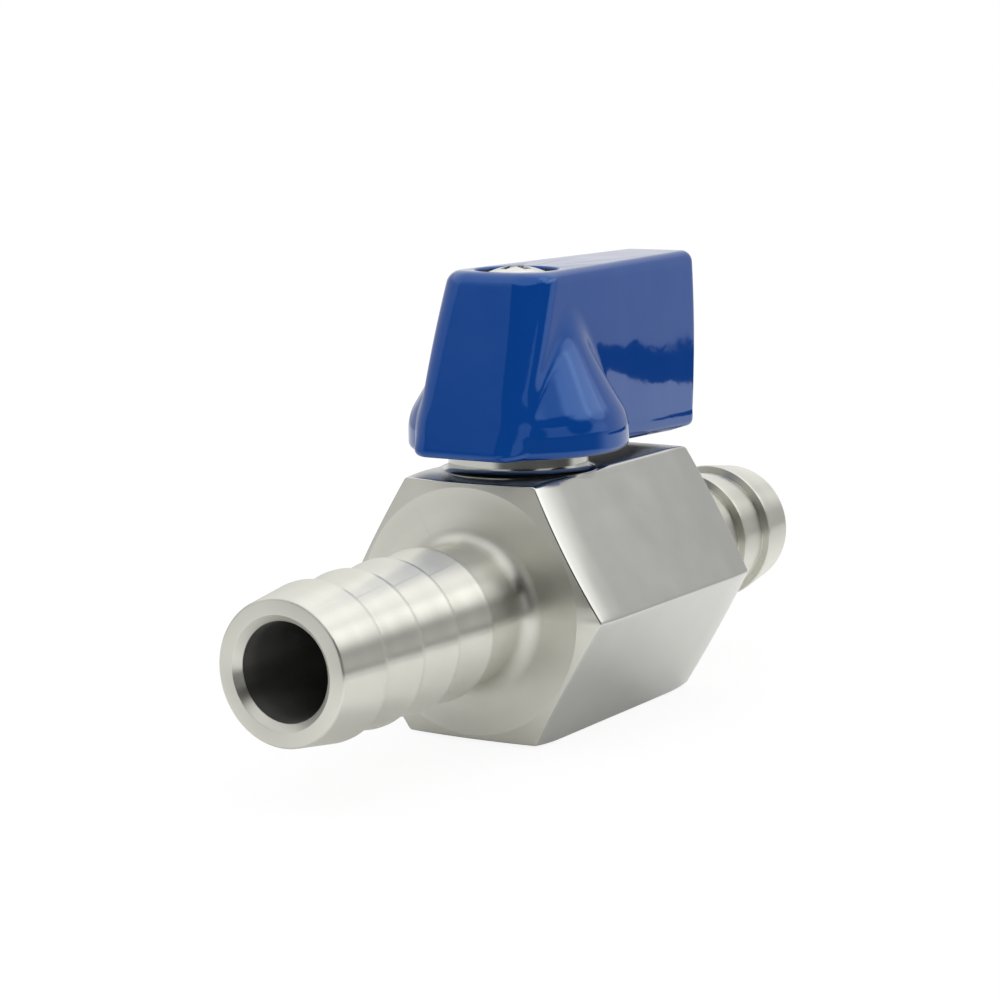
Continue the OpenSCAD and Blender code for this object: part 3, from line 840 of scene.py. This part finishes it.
# Dark stretches of the floor as reflections see it: azimuth, the cosines of how far it reaches to the sides,
# the distances over which it starts and ends, and how dark it is
FLOOR_SHADES = [(-23, 0.90, 0.96, (0.200, 0.206), (0.284, 0.294), 0.97),
                (-120, 0.25, 0.60, (0.085, 0.120), (2.0, 2.1), 0.90),
                (180, 0.85, 0.97, (0.014, 0.020), (0.036, 0.046), 0.60)]
# Elevations between which the studio walls, as reflections see them, get brighter, and the two levels
WALLS = (20, 34, 0.62, 1.18)
# Reflections see at least this much in every direction
DARKEST = 0.02
# Soft zones in reflections: azimuth, elevation, radii of the full and the faded part, and light added
ZONES = [
    (-142, 6, 14, 26, -0.8),
    (-80, 14, 12, 18, -0.6),
    (-100, 46, 5, 14, -0.4),
    (150, 27, 12, 22, -0.48),
    (-29, 23, 2, 8, 0.15),
    (-46, 29, 9, 15, 0.8),
    (-68, 38, 10, 18, 0.7),
    (-28, 28, 2, 8, 0.35),
    (-55, 3, 6, 15, 0.3),
    (-2, 58, 12, 28, 0.38),
    (32, 8, 10, 30, 0.3),
]
# A dark band behind the camera: azimuth and elevation of its middle, the angles from there over which it
# fades to the sides, the elevations over which it starts and ends, and light added
DARK_BAND = (-145, 30, (48, 60), (18, 24), (36, 44), -1.2)
# Even light on dull surfaces: its level, how much it leans and towards what azimuth and elevation
SOFT_LIGHT = (0.93, 0.12, -90, 40)

# The photograph's camera, as fitted to the valve's edges in the picture. Its azimuth goes from -Y towards +X.
# In its view the point that it looks at lies this far right of and above the origin, in millimetres
CAMERA_AZIMUTH = math.radians(-58.56)
CAMERA_ELEVATION = math.radians(9.11)
CAMERA_ROLL = math.radians(-0.75)
CAMERA_DISTANCE = 228.44
AIM_RIGHT = -1.68
AIM_UP = 7.686
CAMERA_LENS = 100.96


def math_node(tree, operation, *values):
    """A maths node whose inputs are numbers or sockets."""
    node = tree.nodes.new("ShaderNodeMath")
    node.operation = operation
    for socket, value in zip(node.inputs, values):
        if isinstance(value, (int, float)):
            socket.default_value = value
        else:
            tree.links.new(value, socket)
    return node.outputs[0]


def fade(tree, value, low, high, at_low, at_high):
    """A smooth change from one number to another."""
    node = tree.nodes.new("ShaderNodeMapRange")
    node.interpolation_type = "SMOOTHSTEP"
    tree.links.new(value, node.inputs["Value"])
    for key, number in (("From Min", low), ("From Max", high), ("To Min", at_low), ("To Max", at_high)):
        node.inputs[key].default_value = number
    return node.outputs["Result"]


def brightness(tree, factor, stops):
    """Brightness from 0 to 2 by a factor, held level past the first and the last stop."""
    node = tree.nodes.new("ShaderNodeValToRGB")
    tree.links.new(factor, node.inputs[0])
    elements = node.color_ramp.elements
    while len(elements) < len(stops):
        elements.new(1.0)
    for element, (place, value) in zip(elements, stops):
        element.position = place
        element.color = (value / 2, value / 2, value / 2, 1)
    return math_node(tree, "MULTIPLY", node.outputs[0], 2.0)


def direction(azimuth, elevation):
    """Unit vector at an azimuth from +X towards +Y and an elevation above the floor, in degrees."""
    a, e = math.radians(azimuth), math.radians(elevation)
    return Vector((math.cos(a) * math.cos(e), math.sin(a) * math.cos(e), math.sin(e)))


def toward(tree, place, azimuth, elevation):
    """How far a place lies along a direction."""
    node = tree.nodes.new("ShaderNodeVectorMath")
    node.operation = "DOT_PRODUCT"
    tree.links.new(place, node.inputs[0])
    node.inputs[1].default_value = direction(azimuth, elevation)
    return node.outputs["Value"]


def degrees_fade(tree, function, value, low, high, at_low, at_high):
    """A smooth change over a sine or cosine, between two angles in degrees."""
    return fade(tree, value, function(math.radians(low)), function(math.radians(high)), at_low, at_high)


def make_floor():
    """Pale round floor under the valve, with its own white for the camera and reflections, and the shadow."""
    bm = bmesh.new()
    bmesh.ops.create_circle(bm, cap_ends=True, segments=128, radius=FLOOR_R)
    mesh = bpy.data.meshes.new("floor")
    bm.to_mesh(mesh)
    bm.free()
    floor = bpy.data.objects.new("floor", mesh)
    bpy.context.scene.collection.objects.link(floor)
    floor.location.z = (body_low.z - FIT) * MM
    material = bpy.data.materials.new("floor")
    material.use_nodes = True
    tree = material.node_tree
    tree.nodes.clear()
    ray = tree.nodes.new("ShaderNodeLightPath")
    place = tree.nodes.new("ShaderNodeTexCoord").outputs["Object"]
    away = tree.nodes.new("ShaderNodeVectorMath")
    away.operation = "LENGTH"
    tree.links.new(place, away.inputs[0])
    factor = math_node(tree, "DIVIDE", away.outputs["Value"], FLOOR_SPAN)
    reflected, own = (brightness(tree, factor, [(band[0] / FLOOR_SPAN, band[i]) for band in FLOOR_BANDS])
                      for i in (1, 2))
    for azimuth, outside, inside, (start, dark_from), (dark_to, end), amount in FLOOR_SHADES:
        sector = math_node(tree, "DIVIDE", toward(tree, place, azimuth, 0), away.outputs["Value"])
        shade = fade(tree, sector, outside, inside, 0.0, amount)
        for low, high, at_low, at_high in ((start, dark_from, 0.0, 1.0), (dark_to, end, 1.0, 0.0)):
            part = fade(tree, away.outputs["Value"], low, high, at_low, at_high)
            shade = math_node(tree, "MULTIPLY", shade, part)
        reflected = math_node(tree, "MULTIPLY", reflected, math_node(tree, "SUBTRACT", 1.0, shade))
    white, own_white = FLOOR_WHITE
    strength = math_node(tree, "MULTIPLY_ADD", ray.outputs["Is Camera Ray"], white,
                         math_node(tree, "MULTIPLY", ray.outputs["Is Glossy Ray"], reflected))
    glow = tree.nodes.new("ShaderNodeEmission")
    tree.links.new(strength, glow.inputs["Strength"])
    diffuse = tree.nodes.new("ShaderNodeBsdfDiffuse")
    diffuse.inputs["Color"].default_value = FLOOR_COLOUR
    share = math_node(tree, "MULTIPLY_ADD", ray.outputs["Is Camera Ray"], own_white,
                      math_node(tree, "MULTIPLY", ray.outputs["Is Glossy Ray"], own))
    mix = tree.nodes.new("ShaderNodeMixShader")
    tree.links.new(share, mix.inputs[0])
    tree.links.new(diffuse.outputs[0], mix.inputs[1])
    tree.links.new(glow.outputs[0], mix.inputs[2])
    out = tree.nodes.new("ShaderNodeOutputMaterial")
    tree.links.new(mix.outputs[0], out.inputs["Surface"])
    mesh.materials.append(material)


def make_world():
    """Studio surroundings: white to the camera, soft bright and dark zones to reflections, and even light."""
    world = bpy.data.worlds.new("studio")
    bpy.context.scene.world = world
    world.use_nodes = True
    tree = world.node_tree
    tree.nodes.clear()
    place = tree.nodes.new("ShaderNodeTexCoord").outputs["Generated"]
    reflected = degrees_fade(tree, math.sin, toward(tree, place, 0, 90), *WALLS)
    for azimuth, elevation, inner, outer, amount in ZONES:
        zone = degrees_fade(tree, math.cos, toward(tree, place, azimuth, elevation), outer, inner, 0, amount)
        reflected = math_node(tree, "ADD", reflected, zone)
    azimuth, elevation, (inner, outer), (start, dark_from), (dark_to, end), amount = DARK_BAND
    band = degrees_fade(tree, math.cos, toward(tree, place, azimuth, elevation), outer, inner, 0, amount)
    for low, high, at_low, at_high in ((start, dark_from, 0, 1), (dark_to, end, 1, 0)):
        part = degrees_fade(tree, math.sin, toward(tree, place, 0, 90), low, high, at_low, at_high)
        band = math_node(tree, "MULTIPLY", band, part)
    reflected = math_node(tree, "MAXIMUM", math_node(tree, "ADD", reflected, band), DARKEST)
    level, lean, azimuth, elevation = SOFT_LIGHT
    soft = math_node(tree, "MULTIPLY_ADD", toward(tree, place, azimuth, elevation), lean, level)
    ray = tree.nodes.new("ShaderNodeLightPath")
    seen = math_node(tree, "MAXIMUM", ray.outputs["Is Glossy Ray"], ray.outputs["Is Transmission Ray"])
    # A Mix node of numbers has its factor at input 0 and the two numbers at inputs 2 and 3
    strength = tree.nodes.new("ShaderNodeMix")
    tree.links.new(seen, strength.inputs[0])
    tree.links.new(soft, strength.inputs[2])
    tree.links.new(reflected, strength.inputs[3])
    glow = tree.nodes.new("ShaderNodeBackground")
    tree.links.new(strength.outputs[0], glow.inputs["Strength"])
    white = tree.nodes.new("ShaderNodeBackground")
    for background in (glow, white):
        background.inputs["Color"].default_value = (1, 1, 1, 1)
    mix = tree.nodes.new("ShaderNodeMixShader")
    tree.links.new(ray.outputs["Is Camera Ray"], mix.inputs[0])
    tree.links.new(glow.outputs[0], mix.inputs[1])
    tree.links.new(white.outputs[0], mix.inputs[2])
    out = tree.nodes.new("ShaderNodeOutputWorld")
    tree.links.new(mix.outputs[0], out.inputs["Surface"])


def make_softbox(name, azimuth, elevation, distance, side, radiance):
    """A square softbox turned to the valve, its side and distance in millimetres."""
    data = bpy.data.lights.new(name, "AREA")
    data.shape = "RECTANGLE"
    data.size = side * MM
    data.size_y = side * MM
    data.energy = radiance * math.pi * data.size * data.size_y
    lamp = bpy.data.objects.new(name, data)
    bpy.context.scene.collection.objects.link(lamp)
    outward = direction(azimuth, elevation)
    lamp.location = outward * distance * MM
    lamp.rotation_mode = "QUATERNION"
    lamp.rotation_quaternion = outward.to_track_quat("Z", "Y")


def make_camera():
    """The photograph's camera."""
    back = Vector((math.sin(CAMERA_AZIMUTH) * math.cos(CAMERA_ELEVATION),
                   -math.cos(CAMERA_AZIMUTH) * math.cos(CAMERA_ELEVATION), math.sin(CAMERA_ELEVATION)))
    level_right = Vector((math.cos(CAMERA_AZIMUTH), math.sin(CAMERA_AZIMUTH), 0))
    level_up = back.cross(level_right)
    right = math.cos(CAMERA_ROLL) * level_right + math.sin(CAMERA_ROLL) * level_up
    up = math.cos(CAMERA_ROLL) * level_up - math.sin(CAMERA_ROLL) * level_right
    data = bpy.data.cameras.new("camera")
    data.lens = CAMERA_LENS
    data.sensor_width = 36
    data.clip_start = 0.01
    data.clip_end = 20
    camera = bpy.data.objects.new("camera", data)
    bpy.context.scene.collection.objects.link(camera)
    place = (right * AIM_RIGHT + up * AIM_UP + back * CAMERA_DISTANCE) * MM
    camera.matrix_world = Matrix(((right.x, up.x, back.x, place.x), (right.y, up.y, back.y, place.y),
                                  (right.z, up.z, back.z, place.z), (0, 0, 0, 1)))
    bpy.context.scene.camera = camera


make_body()
make_adapter()
make_lever()
make_screw()
finish_inner_pieces()
make_floor()
make_world()
make_softbox("top_softbox", azimuth=-60, elevation=60, distance=500, side=160, radiance=0.9)
make_camera()
bpy.context.scene.view_settings.view_transform = "Standard"
